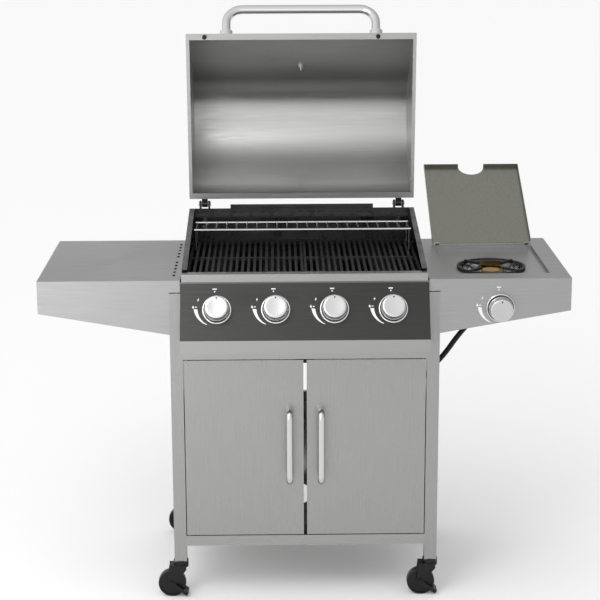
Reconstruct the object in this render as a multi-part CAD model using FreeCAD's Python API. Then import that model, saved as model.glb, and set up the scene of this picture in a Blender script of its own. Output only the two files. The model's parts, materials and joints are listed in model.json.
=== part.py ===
"""Four-burner gas barbecue grill on a cabinet cart, with a side burner.

Millimetres. X runs to the right, Y to the rear, Z up from the floor. The pieces are built
with Y = 0 on the front face of the posts, then moved so that the origin is under the middle.
"""
import FreeCAD, Part
import math
import os
from FreeCAD import Vector as V

# ---- driving dimensions ---------------------------------------------------------------
CART_WIDTH = 600.0        # outside of the posts
CART_DEPTH = 430.0        # front face of the front posts to rear face of the rear posts
SHELF_SPAN = 315.0        # how far a shelf reaches out from its inner edge
SHELF_HEIGHT = 748.5      # top of the side shelves
SHEET = 1.2               # sheet steel
THICK_SHEET = 2.0         # brackets and hood ends
POST = 28.0               # square post
WHEEL_R = 31.75
FORK_OVER = 14.5          # top of a fork over its wheel
FORK_TOP = 2 * WHEEL_R + FORK_OVER
POST_BOTTOM = FORK_TOP + 10.0
SHELF_TAB = 28.9          # shelf edge over the top of a post
FLOOR_TOP = 142.0         # bottom shelf
FLOOR_LIP = 16.0
DOOR_BOTTOM = 152.0
DOOR_TOP = 565.5
DOOR_SHEET = 16.0         # depth of a door with its folded edges
DOOR_GAP = 7.5            # between the two doors
DOOR_CLEAR = 2.0          # round the doors
RAIL_TOP = 597.0          # rail over the doors
TANK_HOLE_R = 105.0
BACK_PANEL_TOP = 370.0
RUN_CLEAR = 0.05          # radial clearance of a shaft in its hole
GAP = 0.6                 # clearance between pieces that move past each other

BOX_HALF = CART_WIDTH / 2 - POST   # firebox, hood and control panel sit between the posts
RIM_FRONT = 12.0          # firebox front, Y
RIM_BACK = 10.0           # firebox rear before the cart's rear
RIM_REAR = CART_DEPTH - RIM_BACK
RIM_LOW = 766.0           # firebox rim height at the front
RIM_HIGH = 829.0          # and at the rear
BOX_BOTTOM = 650.0
GRATE_TOP = 752.0
GRATE_BAR = 6.0
GRATE_PITCH = 13.0
BURNER_PITCH = 129.0
BURNER_X = tuple(BURNER_PITCH * (index - 1.5) for index in range(4))
BURNER_R = 14.0
TENT_Z = 712.0
TENT_HALF = 30.0
TENT_RISE = 16.0

PANEL_TILT = 28.0         # control panel from the vertical, degrees
PANEL_TOP = (-5.0, 743.0)  # Y, Z of its top edge
PANEL_LENGTH = 130.0
PANEL_LIP_BOTTOM = 600.0
STRIP_TOP = 762.0
KNOB_DOWN = 60.0          # knob centre below the panel's top edge
BEZEL_R = 33.0
KNOB_R = 25.5
KNOB_DEPTH = 22.0
KNOB_STANDOFF = 8.0       # knob's back in front of its panel
STEM_R = 4.0
VALVE_R = 11.0
VALVE_LENGTH = 26.0
MANIFOLD_R = 9.5
PRESS = 3.0               # travel of a pushed knob

SIDE_KNOB = (CART_WIDTH / 2 + 133.5, 682.0)    # X, Z on the right shelf's front
POCKET_SIZE = (235.0, 80.0)                    # width, and its rear edge before the shelf's
POCKET_CORNER = (CART_WIDTH / 2 + 14.0, 52.0)
POCKET_X = (POCKET_CORNER[0], POCKET_CORNER[0] + POCKET_SIZE[0])
POCKET_Y = (POCKET_CORNER[1], CART_DEPTH - POCKET_SIZE[1])
POCKET_DEPTH = 8.0
SIDE_BURNER = (CART_WIDTH / 2 + 128.0, 142.0)  # X, Y of its middle
BOWL_R = 68.0
BOWL_DEPTH = 24.0
TRIVET_R = 78.0
TRIVET_TOP = 748.5
LID_OVER = (3.0, 8.0)     # side lid wider and deeper than the sunken tray
LID_SIZE = (POCKET_SIZE[0] + LID_OVER[0], POCKET_Y[1] - POCKET_Y[0] + LID_OVER[1])
LID_SHEET = 1.2
LID_FLANGE = 9.0
LID_OPEN = 152.0
LID_PIN = (POCKET_Y[1] + 7.0, 753.0)   # Y, Z of the side lid's hinge line
NOTCH_R = 32.0

HOOD_OPEN = 94.0          # degrees from closed to its stop
HOOD_PIN = (RIM_REAR + 11.0, 838.0)    # Y, Z of the hood's hinge line
HOOD_PIN_R = 4.0
HOOD_RISE = 190.0         # hood height over its rim
HOOD_REAR = 55.0          # its straight rear wall
HOOD_SHEET = 1.5
HOOD_RIM_GAP = 3.0        # closed hood over the firebox rim
HANDLE_R = 10.5
HANDLE_HALF = 177.5
HANDLE_OUT = 93.0
ROSETTE_WIDER = 5.0       # foot of each leg, past the handle's tube
ROSETTE_HEIGHT = 20.0
THERMO_R = 34.0

DOOR_HANDLE_R = 8.0
DOOR_HANDLE_X = 35.5
DOOR_HANDLE_Z = (279.0, 458.0)
DOOR_HANDLE_OUT = 30.0

WHEEL_WIDTH = 20.0
CASTER_TRAIL = 21.0
AXLE_R = 4.0
STEM_PIN_R = 5.5

SCREW_R = 3.0
SCREW_HEAD_R = 5.5
SCREW_HEAD = 3.0
SCREW_LENGTH = 5.0
SCREW_LOW = 645.0         # shelf screws, Z
SCREW_HIGH = 700.0
HINGE_X = 235.0           # middle of each hood hinge
HINGE_SCREWS = (784.0, 801.0)
EAR_R = 8.0               # hood hinge brackets' ears
EAR_SHEET = 5.0
SIDE_INSET = 4.0          # side panels behind the posts' outer faces
HOSE_HOLE = (80.0, 526.0)  # Y, Z where the hose passes the right side panel
HOSE_HOLE_R = 24.0
TANK_AT = (-80.0, CART_DEPTH - 134.0)  # X, Y of the gas cylinder's foot
BEAM_DEPTH = 30.0
DOOR_PIN_R = 2.5
DOOR_PIN_INSET = 5.0
DOOR_PIN_Y = 4.5
FORK_PLATE = 6.0
FORK_ARM = 2.5
CUP_R = 17.0
PEDAL_REACH = WHEEL_R + 11.25
LIP_DEPTH = 24.0          # control panel's top lip
BEZEL_HEIGHT = 4.5
STEM_REACH = 15.0         # stem inside the knob
JET_R = 5.0
NUT_LENGTH = 10.0
MIXER_GAP = 4.0
JET_LENGTH = 16.0
MANIFOLD_HALF = 228.0
INLET_R = 7.94            # 5/8 in flare thread
INLET_REACH = 32.0
INLET_WAY = V(0, 0, -1)
FRONT_WALL = 14.0         # firebox front wall, Y
RIM_WIDTH = 12.0
SMOKE_SHELF_Z = 812.0
SMOKE_HOLE_PITCH = 49.0
GUARD_HALF = 173.0
BURNER_START = 6.0
RACK_DEPTH = 88.0
RACK_BACK = 32.0          # warming rack before the firebox's rear
RACK_Y = (RIM_REAR - RACK_BACK - RACK_DEPTH, RIM_REAR - RACK_BACK)
RACK_Z = 800.0
RACK_PITCH = 24.0
TRAY_Z = 622.0
TRAY_DEPTH = 22.0
TRAY_FRONT = 64.0
HOOD_SHORT = 11.0         # hood's rim shorter than the firebox's
HOOD_END = 8.0            # end cap
THERMO_UP = 150.0         # thermometer up the hood's front face
THERMO_STEM_R = 3.0
THERMO_STEM = 11.0        # stem's end below the hood's skin
THERMO_DEEP = 16.0
THERMO_NUT = (9.0, 4.0)   # radius and height
HANDLE_UP = 25.0
HANDLE_BEND = 38.0
BUMPER = 6.0
BUMPER_X = (-228.0, 181.0)
SHELF_DEEP = 123.5        # shelf's front at the cart
SHELF_SHALLOW = 73.5      # and at its outer end
FOLD = 11.0
POST_GAP = 2.0            # open line between a post's top and the shelf's front
VENT_COUNT = 5            # slots in each of the left shelf's two groups
VENT_PITCH = 33.0
VENT_R = 3.0              # half of a slot's width
VENT_LENGTH = 16.0
VENT_END = 53.0           # first and last slot from the shelf's ends
VENT_IN = 9.0             # slots' middle from the cart's side
SIDE_TUBE_R = 11.0
SIDE_HEAD_R = 27.0
LID_PIN_R = 1.5
LID_RISE = 5.5            # lid's underside over its pins

HOSE_R = 6.0
# hose centre line, from the side burner's valve to the manifold
HOSE = [(415.0, 30.0, 676.0), (377.6, 80.0, 641.9), (289.9, 80.0, 510.7), (213.1, 82.0, 497.2),
        (154.1, 72.0, 538.5), (141.2, 52.0, 611.4), (150.0, 5.0, 643.0)]

# ---- sizes that follow ------------------------------------------------------------------
HALF = CART_WIDTH / 2
INNER = HALF - POST
SHELF_IN = BOX_HALF + 3.0
SHELF_OUT = SHELF_IN + SHELF_SPAN
POST_TOP = SHELF_HEIGHT - SHELF_TAB
REAR_POST = CART_DEPTH - POST
TILT = math.radians(PANEL_TILT)
OUTWARD = V(0, -math.cos(TILT), math.sin(TILT))
DOWN = V(0, -math.sin(TILT), -math.cos(TILT))
X_AXIS = V(1, 0, 0)
Y_AXIS = V(0, 1, 0)
Z_AXIS = V(0, 0, 1)
PANEL_EDGE = V(0, PANEL_TOP[0], PANEL_TOP[1])
PANEL_FOOT = PANEL_EDGE + DOWN * PANEL_LENGTH
MANIFOLD_AT = PANEL_EDGE + DOWN * (KNOB_DOWN + VALVE_R + MANIFOLD_R - 1) - OUTWARD * 22
BURNER_AXIS = (PANEL_EDGE + DOWN * KNOB_DOWN - OUTWARD * (VALVE_LENGTH + 3)).z
RIM_ANGLE = math.atan2(RIM_HIGH - RIM_LOW, RIM_REAR - RIM_FRONT)
RIM_LENGTH = math.hypot(RIM_HIGH - RIM_LOW, RIM_REAR - RIM_FRONT)


# ---- shapes -------------------------------------------------------------------------------
def box(x0, x1, y0, y1, z0, z1):
    """A block between two corners."""
    return Part.makeBox(x1 - x0, y1 - y0, z1 - z0, V(x0, y0, z0))


def rod(radius, start, direction, length):
    """A solid round bar."""
    return Part.makeCylinder(radius, length, start, direction)


def disc(radius, hole, start, direction, length):
    """A washer."""
    return rod(radius, start, direction, length).cut(rod(hole, start, direction, length))


def prism(points, x0, x1):
    """A YZ outline pushed along X."""
    face = Part.Face(Part.makePolygon([V(x0, y, z) for y, z in points + points[:1]]))
    return face.extrude(V(x1 - x0, 0, 0))


def slab(points, y0, y1):
    """An XZ outline pushed along Y."""
    face = Part.Face(Part.makePolygon([V(x, y0, z) for x, z in points + points[:1]]))
    return face.extrude(V(0, y1 - y0, 0))


def join(shapes):
    """One solid from pieces that meet."""
    whole = shapes[0]
    if len(shapes) > 1:
        whole = whole.fuse(shapes[1:])
    return whole.removeSplitter()


def mirrored(shape):
    """The same piece on the other side of the grill."""
    return shape.mirror(V(0, 0, 0), X_AXIS)


def both_sides(shape):
    """A piece and its mirror image, as two solids."""
    return [shape, mirrored(shape)]


def rounded_path(points, share=0.45):
    """Straight runs joined by tangent arcs; returns the wire and the arcs' radii."""
    points = [V(*p) for p in points]
    edges = []
    radii = []
    last = points[0]
    for before, corner, after in zip(points, points[1:], points[2:]):
        back = before - corner
        ahead = after - corner
        reach = share * min(back.Length, ahead.Length)
        back.normalize()
        ahead.normalize()
        half_turn = (math.pi - back.getAngle(ahead)) / 2
        radius = reach / math.tan(half_turn)
        start = corner + back * reach
        end = corner + ahead * reach
        to_centre = (back + ahead).normalize()
        middle = corner + to_centre * (radius / math.cos(half_turn) - radius)
        edges.append(Part.LineSegment(last, start).toShape())
        edges.append(Part.Arc(start, middle, end).toShape())
        radii.append(radius)
        last = end
    edges.append(Part.LineSegment(last, points[-1]).toShape())
    return Part.Wire(edges), radii


def bent_bar(points, radius, share=0.45):
    """A round bar swept along a rounded path."""
    wire, radii = rounded_path(points, share)
    start = V(*points[0])
    ring = Part.Wire(Part.makeCircle(radius, start, V(*points[1]) - start))
    return wire.makePipeShell([ring], True, False), wire.Length, radii


def on_panel(x, down, out=0.0):
    """A point on the tilted control panel."""
    return PANEL_EDGE + V(x, 0, 0) + DOWN * down + OUTWARD * out


def knob_places():
    """Name, point on the panel and outward direction of each knob."""
    places = []
    for number, x in enumerate(BURNER_X, 1):
        places.append(("main_%d" % number, on_panel(x, KNOB_DOWN), OUTWARD))
    places.append(("side", V(SIDE_KNOB[0], 0, SIDE_KNOB[1]), V(0, -1, 0)))
    return places


def screw_places():
    """Point under the head and the way the shank points, for every screw."""
    places = []
    for side in (-1, 1):
        for y in (POST / 2, REAR_POST + POST / 2):
            for z in (SCREW_LOW, SCREW_HIGH):
                places.append((V(side * (HALF + SHEET), y, z), V(-side, 0, 0)))
        for z in HINGE_SCREWS:
            places.append((V(side * HINGE_X, RIM_REAR - HOOD_SHEET, z), Y_AXIS))
    return places


def fasteners():
    """Screws of the shelves and of the hood's hinge brackets."""
    screws = []
    for point, way in screw_places():
        head = rod(SCREW_HEAD_R, point, way * -1, SCREW_HEAD)
        screws.append(join([head, rod(SCREW_R, point, way, SCREW_LENGTH)]))
    return screws


def drilled(shape):
    """A piece with the screw holes that fall in it."""
    for point, way in screw_places():
        shape = shape.cut(rod(SCREW_R, point - way, way, SCREW_LENGTH + 2))
    return shape


# ---- cart -----------------------------------------------------------------------------------
def post(side, y0):
    """A square tube with a plate in its foot for the caster's stem."""
    x0, x1 = sorted((side * HALF, side * INNER))
    tube = box(x0, x1, y0, y0 + POST, POST_BOTTOM, POST_TOP)
    hollow = box(x0 + SHEET, x1 - SHEET, y0 + SHEET, y0 + POST - SHEET, POST_BOTTOM + 3, POST_TOP + 1)
    centre = V(side * (HALF - POST / 2), y0 + POST / 2, POST_BOTTOM - 1)
    return drilled(tube.cut(hollow).cut(rod(STEM_PIN_R, centre, Z_AXIS, 5)))


def posts():
    """The cart's four corner posts."""
    return [post(side, y0) for y0 in (0, REAR_POST) for side in (-1, 1)]


def cart_side_panels():
    """A sheet between the posts on each side; the hose comes in through the right one."""
    outer = HALF - SIDE_INSET
    sheet = box(outer - SHEET, outer, POST, REAR_POST, POST_BOTTOM + 38, POST_TOP)
    flange = box(outer - 14, outer - SHEET, POST, REAR_POST, POST_TOP - SHEET, POST_TOP)
    plain = join([sheet, flange])
    hole = rod(HOSE_HOLE_R, V(outer - 5, HOSE_HOLE[0], HOSE_HOLE[1]), X_AXIS, 10)
    return [plain.cut(hole), mirrored(plain)]


def cart_back_panel():
    """The lower part of the cabinet's back, open above for the gas cylinder."""
    y = REAR_POST + 12
    sheet = box(-INNER, INNER, y, y + SHEET, FLOOR_TOP, BACK_PANEL_TOP)
    fold = box(-INNER, INNER, y - 12, y, BACK_PANEL_TOP - SHEET, BACK_PANEL_TOP)
    return [join([sheet, fold])]


def door_pin_places():
    """X of each door's hinge line."""
    inset = DOOR_CLEAR + DOOR_PIN_INSET
    return [-(INNER - inset), INNER - inset]


def bottom_shelf():
    """Floor pan with a hollow beam under the doors and a hole for the gas cylinder's foot."""
    bottom = FLOOR_TOP - FLOOR_LIP
    wide = HALF - SIDE_INSET - SHEET
    top = DOOR_BOTTOM - DOOR_CLEAR
    floor = box(-wide, wide, POST, REAR_POST, FLOOR_TOP - SHEET, FLOOR_TOP)
    rear_strip = box(-INNER, INNER, REAR_POST, CART_DEPTH, FLOOR_TOP - SHEET, FLOOR_TOP)
    rear_lip = box(-INNER, INNER, CART_DEPTH - SHEET, CART_DEPTH, bottom, FLOOR_TOP)
    sides = both_sides(box(wide - SHEET, wide, POST, REAR_POST, bottom, FLOOR_TOP))
    beam = box(-INNER, INNER, 0, BEAM_DEPTH, bottom, top)
    hollow = box(-INNER - 1, INNER + 1, SHEET, BEAM_DEPTH - SHEET, bottom + SHEET, top - SHEET)
    pan = join([floor, rear_strip, rear_lip, beam.cut(hollow)] + sides)
    pan = pan.cut(rod(TANK_HOLE_R, V(TANK_AT[0], TANK_AT[1], FLOOR_TOP - 5), Z_AXIS, 10))
    for x in door_pin_places():
        pan = pan.cut(rod(DOOR_PIN_R + RUN_CLEAR, V(x, DOOR_PIN_Y, top - 5), Z_AXIS, 10))
    return [pan]


def cart_rails():
    """Channel over the doors and the angle bars that carry the tray."""
    bottom = DOOR_TOP + DOOR_CLEAR
    face = box(-INNER, INNER, 0, SHEET, bottom, RAIL_TOP)
    lower = box(-INNER, INNER, 0, BEAM_DEPTH, bottom, bottom + SHEET)
    upper = box(-INNER, INNER, 0, BEAM_DEPTH - 12, RAIL_TOP - SHEET, RAIL_TOP)
    rail = join([face, lower, upper])
    for x in door_pin_places():
        rail = rail.cut(rod(DOOR_PIN_R + RUN_CLEAR, V(x, DOOR_PIN_Y, bottom - 5), Z_AXIS, 10))
    return [rail] + tray_runners()


def door_catches():
    """Magnetic catches at the top and the bottom, behind the gap between the doors."""
    y0 = DOOR_SHEET + 1
    top = DOOR_TOP + DOOR_CLEAR
    foot = DOOR_BOTTOM - DOOR_CLEAR
    upper = box(-20, 20, y0, BEAM_DEPTH, top - 14, top)
    lower = box(-20, 20, y0, BEAM_DEPTH, foot, foot + 14)
    return [upper, lower]


def door():
    """The right door: a folded pan with its two hinge pins."""
    x0 = DOOR_GAP / 2
    x1 = INNER - DOOR_CLEAR
    pan = box(x0, x1, 0, DOOR_SHEET, DOOR_BOTTOM, DOOR_TOP)
    back = DOOR_SHEET + 1
    hollow = box(x0 + SHEET, x1 - SHEET, SHEET, back, DOOR_BOTTOM + SHEET, DOOR_TOP - SHEET)
    return_fold = 10
    lips = box(x0, x1, DOOR_SHEET - SHEET, DOOR_SHEET, DOOR_BOTTOM, DOOR_TOP)
    window = box(x0 + return_fold, x1 - return_fold, 0, back, DOOR_BOTTOM + return_fold,
                 DOOR_TOP - return_fold)
    x = door_pin_places()[1]
    pin_top = rod(DOOR_PIN_R, V(x, DOOR_PIN_Y, DOOR_TOP - 12), Z_AXIS, 20)
    pin_foot = rod(DOOR_PIN_R, V(x, DOOR_PIN_Y, DOOR_BOTTOM - 8), Z_AXIS, 20)
    return join([pan.cut(hollow), lips.cut(window), pin_top, pin_foot])


def door_handle():
    """The right door's handle: a tube bent into the door at both ends."""
    x = DOOR_HANDLE_X
    low = DOOR_HANDLE_Z[0] + DOOR_HANDLE_R
    high = DOOR_HANDLE_Z[1] - DOOR_HANDLE_R
    out = -DOOR_HANDLE_OUT
    return bent_bar([(x, 0, low), (x, out, low), (x, out, high), (x, 0, high)], DOOR_HANDLE_R)[0]


# ---- casters ----------------------------------------------------------------------------------
def caster_places():
    """Name, swivel axis X and Y, and whether the caster has a brake."""
    x = HALF - POST / 2
    rear = REAR_POST + POST / 2
    return [("front_left", -x, POST / 2, True), ("front_right", x, POST / 2, True),
            ("rear_left", -x, rear, False), ("rear_right", x, rear, False)]


def caster_stem(x, y):
    """Stem with the bearing cup under the post and the head under the fork."""
    cup = POST_BOTTOM - FORK_TOP - 1
    parts = [rod(STEM_PIN_R, V(x, y, FORK_TOP - 12), Z_AXIS, 45),
             rod(CUP_R, V(x, y, POST_BOTTOM - cup), Z_AXIS, cup),
             rod(STEM_PIN_R + 3, V(x, y, FORK_TOP - FORK_PLATE - 5), Z_AXIS, 4)]
    return join(parts)


def caster_fork(x, y, braked):
    """Fork with its axle, trailing behind the swivel."""
    hub = x - CASTER_TRAIL
    inside = WHEEL_WIDTH / 2 + 1.5
    under = FORK_TOP - FORK_PLATE
    plate = rod(CUP_R, V(x, y, under), Z_AXIS, FORK_PLATE)
    plate = plate.fuse(box(hub - 4, x, y - inside - FORK_ARM, y + inside + FORK_ARM, under, FORK_TOP))
    outline = [(x + 12, FORK_TOP), (x + 12, under - 6), (hub + 10, WHEEL_R + 4), (hub + 8, WHEEL_R - 8),
               (hub - 8, WHEEL_R - 8), (hub - 10, WHEEL_R + 4), (hub - 6, FORK_TOP)]
    near = slab(outline, y - inside - FORK_ARM, y - inside)
    far = slab(outline, y + inside, y + inside + FORK_ARM)
    reach = inside + FORK_ARM + (3.5 if braked else 1.5)
    axle = rod(AXLE_R, V(hub, y - reach, WHEEL_R), Y_AXIS, 2 * reach)
    fork = join([plate, near, far, axle])
    return fork.cut(rod(STEM_PIN_R + RUN_CLEAR, V(x, y, under - 3), Z_AXIS, FORK_PLATE + 6))


def caster_wheel(x, y):
    """Plastic wheel with a raised hub and a groove beside its tread."""
    hub = x - CASTER_TRAIL
    half = WHEEL_WIDTH / 2
    wheel = rod(WHEEL_R, V(hub, y - half, WHEEL_R), Y_AXIS, WHEEL_WIDTH)
    wheel = wheel.makeFillet(3.0, wheel.Edges[:1] + wheel.Edges[2:3])
    for face_y, way in ((y - half, 1), (y + half, -1)):
        groove = disc(WHEEL_R - 5, 12, V(hub, face_y, WHEEL_R), V(0, way, 0), 2.5)
        wheel = wheel.cut(groove)
    bore = rod(AXLE_R + RUN_CLEAR, V(hub, y - half - 3, WHEEL_R), Y_AXIS, WHEEL_WIDTH + 6)
    return wheel.cut(bore)


def brake_lever(x, y):
    """Pedal on two straps that turn on the axle."""
    hub = x - CASTER_TRAIL
    inner = WHEEL_WIDTH / 2 + 1.5 + FORK_ARM + 0.5
    way = V(math.cos(math.radians(-35)), 0, math.sin(math.radians(-35)))
    side = V(-way.z, 0, way.x)
    centre = V(hub, 0, WHEEL_R)
    outline = []
    for along, across in ((0, -5), (PEDAL_REACH, -4), (PEDAL_REACH, 4), (0, 5)):
        corner = centre + way * along + side * across
        outline.append((corner.x, corner.z))
    straps = []
    for y0 in (y - inner - 2, y + inner):
        straps.append(slab(outline, y0, y0 + 2).fuse(rod(8, V(hub, y0, WHEEL_R), Y_AXIS, 2)))
    pedal_outline = []
    for along, across in ((WHEEL_R + 3, -4), (PEDAL_REACH, -4), (PEDAL_REACH, 4), (WHEEL_R + 3, 4)):
        corner = centre + way * along + side * across
        pedal_outline.append((corner.x, corner.z))
    pedal = slab(pedal_outline, y - inner - 2, y + inner + 2)
    lever = join(straps + [pedal])
    bore = rod(AXLE_R + RUN_CLEAR, V(hub, y - inner - 4, WHEEL_R), Y_AXIS, 2 * inner + 8)
    return lever.cut(bore)


# ---- controls ---------------------------------------------------------------------------------
def panel_outline(inset, back):
    """Section of the control panel, moved inwards by its sheet; open towards the back."""
    foot = PANEL_FOOT
    shift = inset / math.cos(TILT)
    top = PANEL_TOP[1] - inset / 2
    top_y = PANEL_TOP[0] - (PANEL_TOP[1] - top) * math.tan(TILT) + shift
    foot_z = PANEL_TOP[1] - (PANEL_TOP[0] + shift - foot.y - inset) / math.tan(TILT)
    return [(back, STRIP_TOP - inset), (inset, STRIP_TOP - inset), (inset, PANEL_TOP[1] + 2 - inset / 2),
            (top_y, top), (foot.y + inset, foot_z), (foot.y + inset, PANEL_LIP_BOTTOM + inset),
            (back, PANEL_LIP_BOTTOM + inset)]


def control_panel():
    """Tilted front with its top strip, lower lip and end caps."""
    whole = prism(panel_outline(0, LIP_DEPTH), -BOX_HALF, BOX_HALF)
    panel = whole.cut(prism(panel_outline(SHEET, LIP_DEPTH + 5), -BOX_HALF - 1, BOX_HALF + 1))
    cap = prism(panel_outline(0, 0)[2:], BOX_HALF, BOX_HALF + THICK_SHEET)
    panel = join([panel] + both_sides(cap))
    for name, point, out in knob_places()[:4]:
        panel = panel.cut(rod(STEM_R + 2, point - out * 5, out, 10))
    return [panel]


def knob_bezels():
    """Chrome ring behind each knob."""
    rings = []
    for name, point, out in knob_places():
        ring = disc(BEZEL_R, STEM_R + 2, point, out, BEZEL_HEIGHT)
        rings.append(ring.cut(rod(BEZEL_R - 6, point + out * 2, out, BEZEL_HEIGHT)))
    return rings


def knob(point, out):
    """Knob with a pointer ridge at its top and a blind hole for the stem."""
    base = point + out * KNOB_STANDOFF
    up = V(0, out.z, -out.y)
    body = rod(KNOB_R, base, out, KNOB_DEPTH)
    body = body.makeChamfer(2.5, [edge for edge in body.Edges if edge.Vertexes[0].Point.distanceToPlane(
        base, out) > KNOB_DEPTH - 1 and len(edge.Vertexes) == 1])
    collar = rod(KNOB_R + 2, base, out, 5)
    tip = base + out * (KNOB_DEPTH - 8)
    corners = [tip + up * (KNOB_R + 3.5), tip + up * (KNOB_R - 5) + V(6, 0, 0),
               tip + up * (KNOB_R - 5) - V(6, 0, 0)]
    ridge = Part.Face(Part.makePolygon(corners + corners[:1])).extrude(out * 6)
    bore = rod(STEM_R + RUN_CLEAR, base - out, out, STEM_REACH + 1 + 0.5)
    return join([body, collar, ridge]).cut(bore)


def knob_stem(point, out):
    """Spindle that the knob pushes and turns on."""
    return rod(STEM_R, point - out * VALVE_LENGTH, out, VALVE_LENGTH + KNOB_STANDOFF + STEM_REACH)


def valve(point, out):
    """Gas valve behind its panel, with the spindle's bore and a jet towards the burner."""
    flange = rod(VALVE_R + 3, point - out * (SHEET + 3), out, 3)
    body = rod(VALVE_R, point - out * (VALVE_LENGTH + 8), out, VALVE_LENGTH + 8 - SHEET)
    jet_from = point - out * (VALVE_LENGTH + 3)
    shape = join([flange, body, rod(JET_R, jet_from, Y_AXIS, JET_LENGTH)])
    bore = rod(STEM_R + RUN_CLEAR, point - out * (VALVE_LENGTH + PRESS + 1), out, VALVE_LENGTH + 20)
    return shape.cut(bore)


def burner_valves():
    """Four valves on the manifold and one behind the right shelf's front."""
    pipe_room = rod(MANIFOLD_R, V(-BOX_HALF, MANIFOLD_AT.y, MANIFOLD_AT.z), X_AXIS, 2 * BOX_HALF)
    return [valve(point, out).cut(pipe_room) for name, point, out in knob_places()]


def hose_ends():
    """Each end of the hose and the way it points there, out of the hose."""
    points = [V(*point) for point in HOSE]
    first, last = points[0] - points[1], points[-1] - points[-2]
    return [(points[0], first.normalize()), (points[-1], last.normalize())]


def gas_manifold():
    """Tube that feeds the valves, with the gas inlet at its left end."""
    left = V(-MANIFOLD_HALF, MANIFOLD_AT.y, MANIFOLD_AT.z)
    tube = rod(MANIFOLD_R, left, X_AXIS, 2 * MANIFOLD_HALF)
    elbow = rod(MANIFOLD_R, left + V(MANIFOLD_R, 0, 0), INLET_WAY, 16)
    inlet = rod(INLET_R, left + V(MANIFOLD_R, 0, 0), INLET_WAY, INLET_REACH)
    hose_end, ahead = hose_ends()[1]
    to_axis = (V(hose_end.x, MANIFOLD_AT.y, MANIFOLD_AT.z) - hose_end).Length
    port = rod(5, hose_end + ahead * NUT_LENGTH, ahead, to_axis - NUT_LENGTH)
    bore = rod(4, left + INLET_WAY * 10 + V(MANIFOLD_R, 0, 0), INLET_WAY, INLET_REACH)
    return [join([tube, elbow, inlet, port]).cut(bore)]


def hexagon_nut(across, start, way, length):
    """A six-sided nut round an axis."""
    nut = Part.makePolygon([V(across / 1.732 * math.cos(k * math.pi / 3),
                              across / 1.732 * math.sin(k * math.pi / 3), 0) for k in range(7)])
    solid = Part.Face(nut).extrude(V(0, 0, length))
    solid.Placement = FreeCAD.Placement(start, FreeCAD.Rotation(Z_AXIS, way))
    return solid


def hose_fittings():
    """Swivel nuts at both ends of the hose and the grommet in the side panel."""
    (start, back), (end, ahead) = hose_ends()
    lower = hexagon_nut(16, end, ahead, NUT_LENGTH)
    upper = hexagon_nut(16, start, back, NUT_LENGTH)
    spigot = rod(5, start + back * NUT_LENGTH, back, 9)
    side_valve = knob_places()[4]
    room = rod(VALVE_R, side_valve[1], Y_AXIS, VALVE_LENGTH + 8)
    upper = join([upper, spigot]).cut(room)
    x = HALF - SIDE_INSET
    grommet = disc(HOSE_HOLE_R + 3, HOSE_HOLE_R - 4, V(x, HOSE_HOLE[0], HOSE_HOLE[1]), X_AXIS, 3)
    return [lower, upper, grommet]


def gas_hose():
    """Rubber hose from the manifold to the side burner."""
    hose, length, radii = bent_bar(HOSE, HOSE_R)
    print("hose length %.1f, volume ratio %.4f" % (length, hose.Volume / (math.pi * HOSE_R ** 2 * length)))
    print("hose bend radii", ["%.0f" % radius for radius in radii])
    return [hose]


# ---- firebox ---------------------------------------------------------------------------------
def rim_z(y):
    """Height of the firebox rim at a place along its side."""
    return RIM_LOW + (y - RIM_FRONT) * math.tan(RIM_ANGLE)


def firebox_side_walls():
    """Side sheets rising to the rear, with a flange along the rim and one for the tray."""
    step = LIP_DEPTH + GAP
    top = STRIP_TOP - SHEET
    outline = [(FRONT_WALL, BOX_BOTTOM), (FRONT_WALL, top), (step, top), (step, rim_z(step)),
               (RIM_REAR - HOOD_SHEET, rim_z(RIM_REAR)), (RIM_REAR - HOOD_SHEET, BOX_BOTTOM)]
    wall = prism(outline, BOX_HALF - HOOD_SHEET, BOX_HALF)
    rim = [(step, rim_z(step)), (RIM_REAR - HOOD_SHEET, rim_z(RIM_REAR)),
           (RIM_REAR - HOOD_SHEET, rim_z(RIM_REAR) - HOOD_SHEET), (step, rim_z(step) - HOOD_SHEET)]
    flange = prism(rim, BOX_HALF - RIM_WIDTH, BOX_HALF)
    ledge = box(BOX_HALF - RIM_WIDTH, BOX_HALF, FRONT_WALL, RIM_REAR - HOOD_SHEET, BOX_BOTTOM,
                BOX_BOTTOM + HOOD_SHEET)
    return both_sides(join([wall, flange, ledge]))


def firebox_front_wall():
    """Front sheet with the burners' holes and a ledge for the grates."""
    half = BOX_HALF - HOOD_SHEET
    inside = FRONT_WALL + HOOD_SHEET
    sheet = box(-half, half, FRONT_WALL, inside, BOX_BOTTOM + HOOD_SHEET, STRIP_TOP - SHEET)
    ledge = box(-half, half, inside, inside + 16, GRATE_TOP - GRATE_BAR - 4, GRATE_TOP - GRATE_BAR - 2)
    wall = join([sheet, ledge])
    for x in BURNER_X:
        wall = wall.cut(rod(BURNER_R, V(x, FRONT_WALL - 5, BURNER_AXIS), Y_AXIS, 12))
    return [wall.cut(box(-half, -half + RIM_WIDTH, 0, 60, 0, BOX_BOTTOM + HOOD_SHEET))]


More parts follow.
